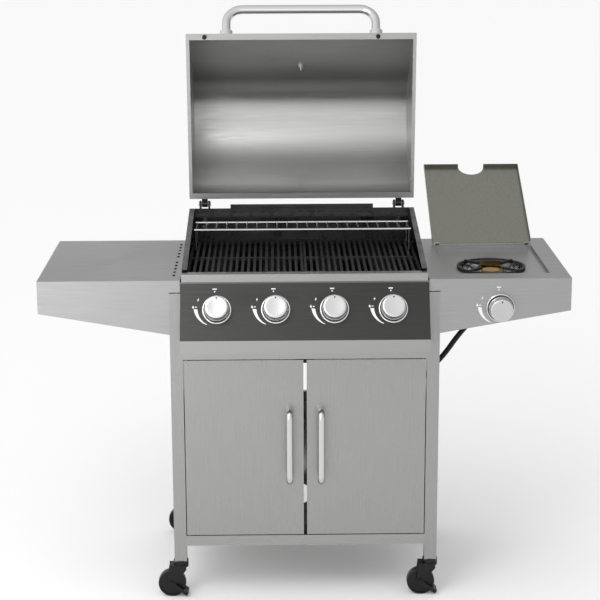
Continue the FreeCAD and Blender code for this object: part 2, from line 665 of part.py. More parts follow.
def firebox_rear_wall():
    """Rear sheet, the ledge for the grates, a perforated shelf and the guard between the hinges."""
    half = BOX_HALF - HOOD_SHEET
    inner = RIM_REAR - HOOD_SHEET
    sheet = box(-half, half, inner, RIM_REAR, BOX_BOTTOM, RIM_HIGH)
    ledge = box(-half, half, inner - 16, inner, GRATE_TOP - GRATE_BAR - 4, GRATE_TOP - GRATE_BAR - 2)
    shelf = box(-half + RIM_WIDTH, half - RIM_WIDTH, inner - 20, inner, SMOKE_SHELF_Z, SMOKE_SHELF_Z + 1.5)
    count = int(2 * (half - RIM_WIDTH - 15) / SMOKE_HOLE_PITCH)
    for index in range(count + 1):
        x = (index - count / 2) * SMOKE_HOLE_PITCH
        shelf = shelf.cut(box(x - 5, x + 5, inner - 15, inner - 5, SMOKE_SHELF_Z - 1, SMOKE_SHELF_Z + 3))
    foot = box(-GUARD_HALF, GUARD_HALF, RIM_REAR, RIM_REAR + 5, 800, 801.5)
    guard = box(-GUARD_HALF, GUARD_HALF, RIM_REAR + 3.5, RIM_REAR + 5, 800, HOOD_PIN[1])
    return [drilled(join([sheet, ledge, shelf, foot, guard]))]


def main_burners():
    """Tube burners with gas ports along both sides."""
    burners = []
    for x in BURNER_X:
        length = RIM_REAR - HOOD_SHEET - BURNER_START
        tube = rod(BURNER_R, V(x, BURNER_START, BURNER_AXIS), Y_AXIS, length)
        mouth = rod(BURNER_R - 4, V(x, BURNER_START - 1, BURNER_AXIS), Y_AXIS, 70)
        burners.append(tube.cut(mouth))
    return burners


def heat_tents():
    """Folded plates over the burners."""
    tents = []
    inside = FRONT_WALL + HOOD_SHEET
    for x in BURNER_X:
        inner = TENT_HALF - 2
        outline = [(x - TENT_HALF, TENT_Z), (x, TENT_Z + TENT_RISE), (x + TENT_HALF, TENT_Z),
                   (x + inner, TENT_Z - 1), (x, TENT_Z + TENT_RISE - 2), (x - inner, TENT_Z - 1)]
        tents.append(slab(outline, inside, RIM_REAR - HOOD_SHEET))
    return tents


def cooking_grates():
    """Two cast grates, each a frame with bars from front to back."""
    grates = []
    inside = FRONT_WALL + HOOD_SHEET + GAP
    far = RIM_REAR - HOOD_SHEET - GAP
    width = BOX_HALF - HOOD_SHEET - RIM_WIDTH / 2 - 1
    low = GRATE_TOP - GRATE_BAR - 2
    for side in (-1, 1):
        x0, x1 = sorted((side * 1.0, side * width))
        grate = box(x0, x1, inside, far, low, GRATE_TOP)
        count = int((x1 - x0 - GRATE_BAR) / GRATE_PITCH)
        pitch = (x1 - x0 - GRATE_BAR) / count
        slots = []
        for index in range(count):
            left = x0 + GRATE_BAR + index * pitch
            for y0, y1 in ((inside + 8, (inside + far) / 2 - 4), ((inside + far) / 2 + 4, far - 8)):
                slots.append(box(left, left + pitch - GRATE_BAR, y0, y1, low - 1, GRATE_TOP + 1))
        grates.append(grate.cut(Part.makeCompound(slots)))
    return grates


def warming_rack():
    """Wire rack over the rear of the grates, on four feet."""
    half = BOX_HALF - HOOD_SHEET - RIM_WIDTH - 3
    y0, y1 = RACK_Y
    wires = []
    for y in (y0, y1):
        wires.append(rod(3, V(-half, y, RACK_Z), X_AXIS, 2 * half))
        for x in (-half + 3, half - 3):
            wires.append(rod(3, V(x, y, GRATE_TOP), Z_AXIS, RACK_Z - GRATE_TOP))
    count = int(2 * half / RACK_PITCH)
    for index in range(count + 1):
        x = -half + 3 + index * (2 * half - 6) / count
        wires.append(rod(1.75, V(x, y0, RACK_Z), Y_AXIS, y1 - y0))
    return [join(wires)]


def grease_tray():
    """Drip tray that slides out at the rear."""
    half = INNER - THICK_SHEET
    bottom = TRAY_Z
    tray = box(-half, half, TRAY_FRONT, REAR_POST + 8, bottom, bottom + TRAY_DEPTH)
    room = box(-half + SHEET, half - SHEET, TRAY_FRONT + SHEET, REAR_POST + 8 - SHEET, bottom + SHEET,
               bottom + TRAY_DEPTH + 1)
    grip = box(-60, 60, REAR_POST + 8, REAR_POST + 24, bottom + TRAY_DEPTH - SHEET, bottom + TRAY_DEPTH)
    return [join([tray.cut(room), grip])]


def tray_runners():
    """Angle bars that carry the tray."""
    z0 = TRAY_Z - GAP - SHEET
    leg = box(INNER - 14, INNER, POST, REAR_POST + POST, z0, z0 + SHEET)
    web = box(INNER - SHEET, INNER, 0, CART_DEPTH, z0, z0 + TRAY_DEPTH)
    return both_sides(join([leg, web]))


# ---- hood -----------------------------------------------------------------------------------
ALONG = V(0, -math.cos(RIM_ANGLE), -math.sin(RIM_ANGLE))
RISE = V(0, -math.sin(RIM_ANGLE), math.cos(RIM_ANGLE))
HOOD_REAR_RIM = V(0, RIM_REAR - 2, RIM_HIGH + HOOD_RIM_GAP)


def in_hood(u, v, x=0.0):
    """A point of the closed hood: u forward along its rim from the rear, v up from the rim."""
    return HOOD_REAR_RIM + ALONG * u + RISE * v + V(x, 0, 0)


def opened(shape):
    """A piece of the hood, turned from closed to its open stop."""
    turned = shape.copy()
    turned.rotate(V(0, HOOD_PIN[0], HOOD_PIN[1]), X_AXIS, -HOOD_OPEN)
    return turned


def hood_section(inset):
    """Side outline of the hood: straight rear and front joined by a rounded top."""
    length = RIM_LENGTH - HOOD_SHORT
    corners = [in_hood(0, 0), in_hood(0, HOOD_REAR), in_hood(length * 0.24, HOOD_RISE * 0.87),
               in_hood(length * 0.57, HOOD_RISE), in_hood(length, 0)]
    wire = rounded_path([(p.x, p.y, p.z) for p in corners], 0.42)[0]
    wire = Part.Wire(wire.Edges + [Part.LineSegment(corners[-1], corners[0]).toShape()])
    if inset:
        wire = wire.makeOffset2D(-inset)
    return Part.Face(wire)


def hood_slice(inset, x0, x1):
    """The hood's section between two places across it."""
    face = hood_section(inset)
    face.translate(V(x0, 0, 0))
    return face.extrude(V(x1 - x0, 0, 0))


def rim_block(u0, u1, v0, v1, x0, x1):
    """A block square to the hood's rim."""
    corners = [in_hood(u0, v0, x0), in_hood(u1, v0, x0), in_hood(u1, v1, x0), in_hood(u0, v1, x0)]
    return Part.Face(Part.makePolygon(corners + corners[:1])).extrude(V(x1 - x0, 0, 0))


def hood_face_point(distance, out=0.0, x=0.0):
    """A point on the hood's front face, measured up from its rim, and the way it faces."""
    length = RIM_LENGTH - HOOD_SHORT
    run = length * 0.43
    slope = math.hypot(run, HOOD_RISE)
    way = (ALONG * HOOD_RISE + RISE * run) * (1 / slope)
    up = (ALONG * -run + RISE * HOOD_RISE) * (1 / slope)
    return in_hood(length, 0, x) + up * distance + way * out, way


def hood_shell():
    """Bent steel hood with folded lips along its front and rear rims."""
    length = RIM_LENGTH - HOOD_SHORT
    half = BOX_HALF - HOOD_END
    shell = hood_slice(0, -half, half).cut(hood_slice(HOOD_SHEET, -half - 1, half + 1))
    shell = shell.cut(rim_block(14, length - 15, -1, 3, -half - 1, half + 1))
    point, way = hood_face_point(THERMO_UP)
    shell = shell.cut(rod(THERMO_STEM_R, point - way * 10, way, 20))
    return [opened(shell)]


def hood_end_caps():
    """Double-skinned ends with rivet holes down their inner skins."""
    half = BOX_HALF - HOOD_END
    cap = hood_slice(0, half, BOX_HALF)
    cap = cap.cut(hood_slice(HOOD_SHEET, half + SHEET, BOX_HALF - HOOD_SHEET))
    for index in range(5):
        centre = in_hood(45 + index * 75, 7, half - 1)
        cap = cap.cut(rod(1.6, centre, X_AXIS, 3))
    return [opened(shape) for shape in both_sides(cap)]


def hood_handle():
    """Tube across the hood's front with a rosette under each leg."""
    points = []
    reach = HANDLE_OUT - HANDLE_R
    for x, out in ((-HANDLE_HALF, 0), (-HANDLE_HALF, reach), (HANDLE_HALF, reach), (HANDLE_HALF, 0)):
        corner = hood_face_point(HANDLE_UP, out, x)[0]
        points.append((corner.x, corner.y, corner.z))
    shapes = [bent_bar(points, HANDLE_R, HANDLE_BEND / reach)[0]]
    for side in (-1, 1):
        base, way = hood_face_point(HANDLE_UP, 0, side * HANDLE_HALF)
        shapes.append(rod(HANDLE_R + ROSETTE_WIDER, base, way, ROSETTE_HEIGHT))
    return [opened(join(shapes))]


def thermometer():
    """Dial on the hood's front, its stem through the hood and the nut inside."""
    point, way = hood_face_point(THERMO_UP)
    dial = rod(THERMO_R, point, way, THERMO_DEEP)
    dial = dial.cut(rod(THERMO_R - 3, point + way * (THERMO_DEEP - 2), way, 5))
    stem = rod(THERMO_STEM_R, point - way * THERMO_STEM, way, THERMO_STEM + 1)
    radius, height = THERMO_NUT
    nut = rod(radius, point - way * (HOOD_SHEET + height), way, height)
    return [opened(join([dial, stem, nut]))]


def hood_bumpers():
    """Rubber feet on the front lip that rest on the firebox when the hood is shut."""
    length = RIM_LENGTH - HOOD_SHORT
    feet = []
    for x in BUMPER_X:
        feet.append(opened(rod(5, in_hood(length - 8, -BUMPER, x), RISE, BUMPER)))
    return feet


def hood_hinge_arms():
    """Arms from the hood's rear wall to the hinge pins."""
    arms = []
    pin = V(0, HOOD_PIN[0], HOOD_PIN[1])
    for side in (-1, 1):
        x0 = side * HINGE_X - 7
        plate = rim_block(-3, 0, 2, 42, x0, x0 + 14)
        web = rim_block((HOOD_REAR_RIM - pin).dot(ALONG) * -1, 0, -2, 8, x0, x0 + 14)
        boss = rod(8, pin + V(x0, 0, 0), X_AXIS, 14)
        arm = join([plate, web, boss]).cut(rod(HOOD_PIN_R + RUN_CLEAR, pin + V(x0 - 1, 0, 0), X_AXIS, 16))
        arms.append(opened(arm))
    return arms


def hood_hinge_brackets():
    """Ears on the rear wall that hold the hinge pins."""
    brackets = []
    for side in (-1, 1):
        x = side * HINGE_X
        plate = box(x - 13, x + 13, RIM_REAR, RIM_REAR + 4, HINGE_SCREWS[0] - 10, RIM_HIGH - 8)
        parts = [plate]
        pin_y, pin_z = HOOD_PIN
        for x0 in (x - 13, x + 13 - EAR_SHEET):
            ear = [(RIM_REAR, RIM_HIGH - 18), (RIM_REAR, RIM_HIGH - 2), (pin_y - EAR_R, pin_z),
                   (pin_y + EAR_R, pin_z), (pin_y + EAR_R, RIM_HIGH - 4), (RIM_REAR + 4, RIM_HIGH - 30)]
            parts.append(prism(ear, x0, x0 + EAR_SHEET))
            parts.append(rod(EAR_R, V(x0, pin_y, pin_z), X_AXIS, EAR_SHEET))
        bracket = join(parts).cut(rod(HOOD_PIN_R, V(x - 14, HOOD_PIN[0], HOOD_PIN[1]), X_AXIS, 28))
        brackets.append(drilled(bracket))
    return brackets


def hinge_pins():
    """Pins pressed through the hood brackets' ears, and the side lid's pins in their lugs."""
    pins = [rod(HOOD_PIN_R, V(side * HINGE_X - 15, HOOD_PIN[0], HOOD_PIN[1]), X_AXIS, 30)
            for side in (-1, 1)]
    return pins + side_lid_hinges()


# ---- shelves --------------------------------------------------------------------------------
def shelf():
    """The right shelf without its burner: a folded tray, deeper at the cart."""
    low = SHELF_HEIGHT - SHELF_DEEP
    outer_low = SHELF_HEIGHT - SHELF_SHALLOW
    over_post = POST_TOP + POST_GAP
    outline = [(SHELF_IN, SHELF_HEIGHT), (SHELF_OUT, SHELF_HEIGHT), (SHELF_OUT, outer_low), (HALF, low),
               (HALF, over_post), (SHELF_IN, over_post)]
    body = slab(outline, 0, CART_DEPTH)
    room = box(HALF + SHEET, SHELF_OUT - SHEET, SHEET, CART_DEPTH - SHEET, low - 10, SHELF_HEIGHT - SHEET)
    notch = box(SHELF_IN - 1, HALF, SHEET, CART_DEPTH - SHEET, POST_TOP - 5, SHELF_HEIGHT - SHEET)
    body = body.cut(room).cut(notch)
    fold = [(HALF, low), (SHELF_OUT, outer_low), (SHELF_OUT, outer_low + SHEET), (HALF, low + SHEET)]
    for y0, y1 in ((0, FOLD), (CART_DEPTH - FOLD, CART_DEPTH)):
        body = body.fuse(slab(fold, y0, y1))
    return drilled(body.removeSplitter())


def left_shelf():
    """Plain shelf with a row of slots near the firebox, in two groups."""
    plate = mirrored(shelf())
    low, high = SHELF_HEIGHT - 2 * SHEET, SHELF_HEIGHT + SHEET
    reach = VENT_LENGTH / 2 - VENT_R
    for index in range(VENT_COUNT):
        for y in (VENT_END + index * VENT_PITCH, CART_DEPTH - VENT_END - index * VENT_PITCH):
            slot = box(-HALF + VENT_IN - VENT_R, -HALF + VENT_IN + VENT_R, y - reach, y + reach, low, high)
            for end in (y - reach, y + reach):
                slot = slot.fuse(rod(VENT_R, V(-HALF + VENT_IN, end, low), Z_AXIS, high - low))
            plate = plate.cut(slot)
    return [plate]


def right_shelf():
    """Shelf with the side burner's sunken tray and the hole for its valve."""
    floor = SHELF_HEIGHT - POCKET_DEPTH
    x0, x1 = POCKET_X
    y0, y1 = POCKET_Y
    body = shelf().cut(box(x0, x1, y0, y1, floor, SHELF_HEIGHT + 1))
    pan = box(x0 - SHEET, x1 + SHEET, y0 - SHEET, y1 + SHEET, floor - SHEET, SHELF_HEIGHT)
    body = body.fuse(pan.cut(box(x0, x1, y0, y1, floor, SHELF_HEIGHT + 1))).removeSplitter()
    body = body.cut(rod(BOWL_R, V(SIDE_BURNER[0], SIDE_BURNER[1], floor - 5), Z_AXIS, 10))
    name, point, out = knob_places()[4]
    return [body.cut(rod(STEM_R + 2, point - out * 5, out, 10))]


def side_burner_bowl():
    """Pressed dish hung by its flange in the sunken tray."""
    floor = SHELF_HEIGHT - POCKET_DEPTH
    centre = V(SIDE_BURNER[0], SIDE_BURNER[1], floor)
    flange = disc(BOWL_R + 5, BOWL_R - SHEET, centre, Z_AXIS, SHEET)
    wall = disc(BOWL_R, BOWL_R - SHEET, centre - Z_AXIS * BOWL_DEPTH, Z_AXIS, BOWL_DEPTH)
    base = disc(BOWL_R, SIDE_TUBE_R, centre - Z_AXIS * BOWL_DEPTH, Z_AXIS, SHEET)
    return [join([flange, wall, base])]


def side_burner():
    """Burner head on its mixing tube, which runs to the side valve's jet."""
    floor = SHELF_HEIGHT - POCKET_DEPTH
    foot = V(SIDE_BURNER[0], SIDE_BURNER[1], floor - BOWL_DEPTH + SHEET)
    stalk = rod(SIDE_TUBE_R, foot - Z_AXIS * 26, Z_AXIS, 30)
    head = rod(SIDE_HEAD_R, foot + Z_AXIS * 4, Z_AXIS, 12)
    cap = rod(SIDE_HEAD_R - 5, foot + Z_AXIS * 16, Z_AXIS, 3)
    name, point, out = knob_places()[4]
    mouth = point - out * (VALVE_LENGTH + 3 + JET_LENGTH + MIXER_GAP)
    end = foot - Z_AXIS * 18
    mixer = rod(8, mouth, end - mouth, (end - mouth).Length)
    ports = []
    for index in range(16):
        angle = index * math.pi / 8
        way = V(math.cos(angle), math.sin(angle), 0)
        ports.append(rod(1.5, foot + Z_AXIS * 10 + way * (SIDE_HEAD_R - 5), way, 8))
    return [join([stalk, head, cap, mixer]).cut(Part.makeCompound(ports))]


def pot_trivet():
    """Cast ring with four feet and four arms towards the flame."""
    floor = SHELF_HEIGHT - POCKET_DEPTH
    centre = V(SIDE_BURNER[0], SIDE_BURNER[1], 0)
    ring = disc(TRIVET_R, TRIVET_R - 6, centre + Z_AXIS * (TRIVET_TOP - 6), Z_AXIS, 4)
    parts = [ring]
    for index in range(4):
        arm = box(34, TRIVET_R - 1, -2.5, 2.5, TRIVET_TOP - 6, TRIVET_TOP)
        foot = box(TRIVET_R - 4.5, TRIVET_R - 0.5, -4, 4, floor, TRIVET_TOP - 2)
        leg = arm.fuse(foot)
        leg.rotate(V(0, 0, 0), Z_AXIS, 45 + 90 * index)
        leg.translate(centre)
        parts.append(leg)
    return [join(parts)]


def lid_hinges():
    """X of the inner and outer face of each lug, left and right."""
    return [(POCKET_X[0] + 2, POCKET_X[0] + 5, 1), (POCKET_X[1] - 5, POCKET_X[1] - 2, -1)]


def side_lid_hinges():
    """Lugs on the shelf with the lid's pins."""
    y, z = LID_PIN
    hinges = []
    for x0, x1, way in lid_hinges():
        lug = box(x0, x1, y - 3.5, y + 3.5, SHELF_HEIGHT, z + 4)
        start = V(x0 if way > 0 else x1, y, z)
        hinges.append(join([lug, rod(LID_PIN_R, start, V(way, 0, 0), 14)]))
    return hinges


def side_burner_lid():
    """Folded lid with a finger notch, open on its stop."""
    y, z = LID_PIN
    middle = (POCKET_X[0] + POCKET_X[1]) / 2
    half = LID_SIZE[0] / 2
    top = z + LID_RISE
    near = y - LID_SIZE[1]
    plate = box(middle - half, middle + half, near, y - 6, top, top + LID_SHEET)
    parts = [plate]
    for x0 in (middle - half, middle + half - LID_SHEET):
        parts.append(box(x0, x0 + LID_SHEET, near, y - 14, top - LID_FLANGE, top))
    parts.append(box(middle - half, middle + half, near, near + LID_SHEET, top - LID_FLANGE, top))
    for x0, x1, way in lid_hinges():
        start = x1 + GAP if way > 0 else x0 - GAP - 9
        parts.append(rod(4.0, V(start, y, z), X_AXIS, 9))
        parts.append(prism([(y - 3, z + 2.5), (y, z + 4), (y - 8, top + 1), (y - 10, top)], start, start + 9))
    lid = join(parts)
    lid = lid.cut(rod(NOTCH_R, V(middle, near, top - LID_FLANGE - 1), Z_AXIS, LID_FLANGE + 5))
    for x0, x1, way in lid_hinges():
        start = x1 if way > 0 else x0 - 12
        lid = lid.cut(rod(LID_PIN_R + RUN_CLEAR, V(start, y, z), X_AXIS, 12))
    lid.rotate(V(0, y, z), X_AXIS, -LID_OPEN)
    return [lid]


# ---- assembly -------------------------------------------------------------------------------
def all_nodes():
    """Every node's solids by name, in the cart's own placing."""
    nodes = {}
    for piece in (posts, cart_side_panels, cart_back_panel, bottom_shelf, cart_rails,
                  door_catches, control_panel, knob_bezels, burner_valves, gas_manifold, hose_fittings,
                  gas_hose, firebox_side_walls, firebox_front_wall, firebox_rear_wall, main_burners,
                  heat_tents, cooking_grates, warming_rack, hood_hinge_brackets,
                  hinge_pins, left_shelf, right_shelf, side_burner_bowl, side_burner, pot_trivet,
                  fasteners, grease_tray, hood_shell, hood_end_caps, hood_handle,
                  thermometer, hood_bumpers, hood_hinge_arms, side_burner_lid):
        nodes[piece.__name__] = piece()
    nodes["left_door"] = [mirrored(door())]
    nodes["right_door"] = [door()]
    nodes["left_door_handle"] = [mirrored(door_handle())]
    nodes["right_door_handle"] = [door_handle()]
    for name, point, out in knob_places():
        nodes["knob_" + name] = [knob(point, out)]
        nodes["stem_" + name] = [knob_stem(point, out)]
    stems = []
    for name, x, y, braked in caster_places():
        stems.append(caster_stem(x, y))
        nodes["fork_" + name] = [caster_fork(x, y, braked)]
        nodes["wheel_" + name] = [caster_wheel(x, y)]
        if braked:
            nodes["brake_" + name] = [brake_lever(x, y)]
    nodes["caster_stems"] = stems
    return nodes


def origin(nodes):
    """The point under the middle of the whole grill."""
    whole = Part.makeCompound([solid for solids in nodes.values() for solid in solids])
    bounds = whole.BoundBox
    return V((bounds.XMin + bounds.XMax) / 2, (bounds.YMin + bounds.YMax) / 2, 0)


def main():
    os.makedirs("parts", exist_ok=True)
    nodes = all_nodes()
    shift = origin(nodes) * -1
    print("origin moved by %.4f %.4f" % (shift.x, shift.y))
    for name, solids in nodes.items():
        for solid in solids:
            solid.translate(shift)
        shape = solids[0] if len(solids) == 1 else Part.makeCompound(solids)
        shape.exportStep("parts/%s.step" % name)
        print("%-22s %2d solids, valid %s, %.1f cm3" % (name, len(shape.Solids), shape.isValid(),
                                                      shape.Volume / 1000))


if __name__ == "__main__":
    main()
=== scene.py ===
"""Looks of a four-burner gas grill: finishes, knobs, marks, dial, hose and a pale studio."""

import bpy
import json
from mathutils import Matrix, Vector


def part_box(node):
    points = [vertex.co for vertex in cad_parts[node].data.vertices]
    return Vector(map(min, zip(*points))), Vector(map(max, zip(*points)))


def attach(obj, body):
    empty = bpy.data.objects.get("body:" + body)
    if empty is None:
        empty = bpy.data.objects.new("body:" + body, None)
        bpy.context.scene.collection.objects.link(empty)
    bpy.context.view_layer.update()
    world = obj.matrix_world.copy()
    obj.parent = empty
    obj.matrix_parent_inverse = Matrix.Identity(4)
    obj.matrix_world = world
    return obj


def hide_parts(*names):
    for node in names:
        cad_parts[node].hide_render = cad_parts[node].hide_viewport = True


bl_info = {
    "name": "Gas Grill Looks",
    "version": (1, 0, 0),
    "blender": (4, 5, 0),
    "location": "View3D > Sidebar > Grill",
    "description": "Dresses a cabinet gas grill with its finishes and small pieces",
    "category": "Object",
}

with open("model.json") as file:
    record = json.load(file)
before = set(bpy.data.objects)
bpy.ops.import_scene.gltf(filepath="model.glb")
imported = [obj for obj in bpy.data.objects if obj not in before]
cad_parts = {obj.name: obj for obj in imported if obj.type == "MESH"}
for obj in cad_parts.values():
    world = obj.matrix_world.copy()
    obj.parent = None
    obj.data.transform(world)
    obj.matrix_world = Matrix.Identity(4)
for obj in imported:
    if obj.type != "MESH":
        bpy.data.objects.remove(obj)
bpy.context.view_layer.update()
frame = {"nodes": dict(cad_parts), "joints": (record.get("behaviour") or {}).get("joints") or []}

import json
import math

import bmesh
import bpy
from bpy.props import FloatProperty, FloatVectorProperty, PointerProperty
from mathutils import Matrix, Vector

MM = 0.001
JOINTS = {joint["name"]: joint for joint in frame["joints"]}
KNOBS = ("main_1", "main_2", "main_3", "main_4", "side")
FINISHES = {}

# the open hood: its face, and its rim from the hinge pin upwards
HOOD_FACE = Vector((0, math.cos(math.radians(52.49)), math.sin(math.radians(52.49))))
RIM_LEAN = math.radians(4.78)
RIM_START = Vector((0, -5.1 * MM, 13.4 * MM))
RIM_ALONG = Vector((0, -math.sin(RIM_LEAN), math.cos(RIM_LEAN)))
RIM_INTO = Vector((0, math.cos(RIM_LEAN), math.sin(RIM_LEAN)))

# gas hose, in millimetres, Y from the front of the posts
HOSE = [(415.0, 30.0, 676.0), (377.6, 80.0, 641.9), (289.9, 80.0, 510.7), (213.1, 82.0, 497.2),
        (154.1, 72.0, 538.5), (141.2, 52.0, 611.4), (150.0, 5.0, 643.0)]

# the camera: metres from the middle, the posts' front and the floor; degrees; millimetres
CAMERA_X = -0.0594
CAMERA_BACK = 3.7083
CAMERA_HIGH = 1.6239
CAMERA_DOWN = 13.945
CAMERA_TURN = -0.753
CAMERA_ROLL = -0.223
CAMERA_LENS = 103.84
CAMERA_REACH = 200
FLOOR_COLOUR = "#FCFCFC"
FLOOR_HALF = 60

# small pieces, in millimetres
POINTER_THICK, POINTER_SUNK, POINTER_ROUND = 8, 10, 0.8
INDEX_THICK, INDEX_SUNK = 0.5, 0.35
RING_INSIDE, RING_FLAT, RING_STEPS = 7, 1.2, 96
INK_THICK, INK_LIFT = 0.15, 0.02
DIAL_SUNK, TICK_MARGIN = 2, 2.5
TICK_COUNT, TICK_DEGREES, LONG_TICK_EVERY = 31, 9, 5
RIVETS_A_SIDE, RIVET_FIRST, RIVET_PITCH = 5, 45, 75
RIVET_IN, RIVET_DOME = 7, 1.5


# ---- colours and nodes --------------------------------------------------------------------
def linear(code):
    """An sRGB hex colour as linear red, green and blue."""
    values = []
    for start in (1, 3, 5):
        part = int(code[start:start + 2], 16) / 255
        values.append(part / 12.92 if part <= 0.04045 else ((part + 0.055) / 1.055) ** 2.4)
    return tuple(values)


def rgba(code):
    """The same with full alpha."""
    return linear(code) + (1.0,)


def add(tree, kind, settings=None, links=None):
    """Adds a node; settings go to its properties or sockets, links join sockets of others to it."""
    node = tree.nodes.new(kind)
    for name, value in (settings or {}).items():
        if isinstance(name, int) or name in node.inputs:
            node.inputs[name].default_value = value
        else:
            setattr(node, name, value)
    for name, source in (links or {}).items():
        tree.links.new(source, node.inputs[name])
    return node


def new_material(name, base, metallic, roughness, **sockets):
    """A material with its shader's plain numbers set on the shader itself."""
    material = bpy.data.materials.new(name)
    material.use_nodes = True
    tree = material.node_tree
    shader = tree.nodes["Principled BSDF"]
    shader.inputs["Base Color"].default_value = rgba(base)
    shader.inputs["Metallic"].default_value = metallic
    shader.inputs["Roughness"].default_value = roughness
    for socket, value in sockets.items():
        shader.inputs[socket.replace("_", " ")].default_value = value
    material.diffuse_color = rgba(base)
    return material, tree, shader


def grain(tree, across_mm, along_mm, direction, detail=3.0):
    """Noise drawn out along one axis of the object: across_mm wide and along_mm long."""
    place = add(tree, "ShaderNodeTexCoord")
    scale = [1 / (across_mm * MM)] * 3
    scale["XYZ".index(direction)] = 1 / (along_mm * MM)
    mapping = add(tree, "ShaderNodeMapping", {"Scale": scale}, {"Vector": place.outputs["Object"]})
    return add(tree, "ShaderNodeTexNoise", {"Scale": 1.0, "Detail": detail},
               {"Vector": mapping.outputs["Vector"]})


def cloudy(tree, size_mm, detail=2.0):
    """Soft patches of one size."""
    place = add(tree, "ShaderNodeTexCoord")
    return add(tree, "ShaderNodeTexNoise", {"Scale": 1 / (size_mm * MM), "Detail": detail},
               {"Vector": place.outputs["Object"]})


def ramp(tree, source, low, high, start=0.3, end=0.7):
    """Maps a pattern to a range of numbers."""
    return add(tree, "ShaderNodeMapRange", {"From Min": start, "From Max": end, "To Min": low,
                                            "To Max": high}, {"Value": source.outputs[0]})


def bump(tree, shader, source, height_mm, strength):
    """Gives the shader a fine relief."""
    relief = add(tree, "ShaderNodeBump", {"Strength": strength, "Distance": height_mm * MM},
                 {"Height": source.outputs[0]})
    tree.links.new(relief.outputs["Normal"], shader.inputs["Normal"])


def tinted(tree, shader, source, dark, light):
    """Lets a pattern move the colour between two near shades."""
    shades = add(tree, "ShaderNodeValToRGB", links={0: source.outputs[0]})
    first, last = shades.color_ramp.elements
    first.position = 0.3
    first.color = rgba(dark)
    last.position = 0.7
    last.color = rgba(light)
    tree.links.new(shades.outputs["Color"], shader.inputs["Base Color"])


# ---- finishes -----------------------------------------------------------------------------
def brushed(name, base, dark, light, direction, roughness=0.30, spread=0.10):
    """Stainless sheet, belt-brushed one way: long fine scratches and faint wiping marks.

    Real scratches are a few hundredths of a millimetre; here they are 0.9 mm so that they show.
    """
    material, tree, shader = new_material(name, base, 1.0, roughness, Anisotropic=0.35)
    scratches = grain(tree, 0.9, 90.0, direction, 4.0)
    tinted(tree, shader, scratches, dark, light)
    wear = ramp(tree, grain(tree, 2.4, 60.0, direction), roughness - spread / 2, roughness + spread)
    tree.links.new(wear.outputs[0], shader.inputs["Roughness"])
    bump(tree, shader, scratches, 0.02, 0.35)
    return material


def two_tone_front():
    """Control panel: black stainless on its tilted face, plain stainless on its folds and ends."""
    material = brushed("black stainless, brushed", "#3C3C3B", "#393938", "#40403F", "X", 0.34)
    tree = material.node_tree
    dark = tree.nodes["Color Ramp"].outputs["Color"]
    place = add(tree, "ShaderNodeTexCoord")
    facing = add(tree, "ShaderNodeVectorMath",
                 {"operation": "DOT_PRODUCT", 1: Vector(JOINTS["push_main_1"]["axis"])},
                 {0: place.outputs["Normal"]})
    on_fold = add(tree, "ShaderNodeMath", {"operation": "LESS_THAN", 1: -0.98},
                  {0: facing.outputs["Value"]})
    shades = add(tree, "ShaderNodeMix", {"data_type": "RGBA"})
    tree.links.new(on_fold.outputs[0], shades.inputs["Factor"])
    shades.inputs[6].default_value = rgba("#9C9C9B")
    tree.links.new(dark, shades.inputs[7])
    tree.links.new(shades.outputs[2], tree.nodes["Principled BSDF"].inputs["Base Color"])
    return material


def polished_chrome():
    """Bright nickel-chrome plate: nearly a mirror, with a trace of haze."""
    roughness = 0.07
    material, tree, shader = new_material("polished chrome", "#C4C4C4", 1.0, roughness)
    haze = ramp(tree, cloudy(tree, 14.0), roughness - 0.03, roughness + 0.05)
    tree.links.new(haze.outputs[0], shader.inputs["Roughness"])
    return material


def satin_cap():
    """Satin-plated zinc knob: soft, even reflections with circular turning too fine to see."""
    material, tree, shader = new_material("satin chrome knob", "#C2C2C2", 1.0, 0.24)
    haze = ramp(tree, cloudy(tree, 12.0), 0.24, 0.27)
    tree.links.new(haze.outputs[0], shader.inputs["Roughness"])
    return material


def black_enamel():
    """Fired enamel on steel: glossy black with a slight orange peel 3 mm wide."""
    material, tree, shader = new_material("black porcelain enamel", "#121314", 0.0, 0.22,
                                          Coat_Weight=0.3)
    bump(tree, shader, cloudy(tree, 3.0), 0.05, 0.25)
    soot = ramp(tree, cloudy(tree, 45.0, 4.0), 0.16, 0.48)
    tree.links.new(soot.outputs[0], shader.inputs["Roughness"])
    return material


def cast_iron():
    """Sand-cast iron, seasoned: dull black with 0.8 mm sand texture."""
    material, tree, shader = new_material("seasoned cast iron", "#17171A", 0.35, 0.55)
    bump(tree, shader, cloudy(tree, 0.8, 5.0), 0.12, 0.5)
    tinted(tree, shader, cloudy(tree, 30.0, 4.0), "#101012", "#27262A")
    return material


def heated_steel():
    """Bare steel that has been hot: grey with straw patches about 60 mm across."""
    material, tree, shader = new_material("heat-tinted steel", "#8D8A84", 1.0, 0.38)
    tinted(tree, shader, cloudy(tree, 60.0, 3.0), "#77736C", "#A29C8E")
    bump(tree, shader, grain(tree, 1.0, 40.0, "Y"), 0.02, 0.25)
    return material


def turned_brass():
    """Machined brass: warm, with fine tool marks."""
    material, tree, shader = new_material("turned brass", "#C9A45A", 1.0, 0.28)
    bump(tree, shader, cloudy(tree, 1.2, 4.0), 0.02, 0.25)
    return material


def caster_paint():
    """Powder coat on pressed steel: black, satin, 1 mm texture."""
    material, tree, shader = new_material("black powder coat", "#0B0B0C", 0.0, 0.36,
                                          Specular_IOR_Level=0.3)
    bump(tree, shader, cloudy(tree, 1.0, 3.0), 0.05, 0.3)
    return material


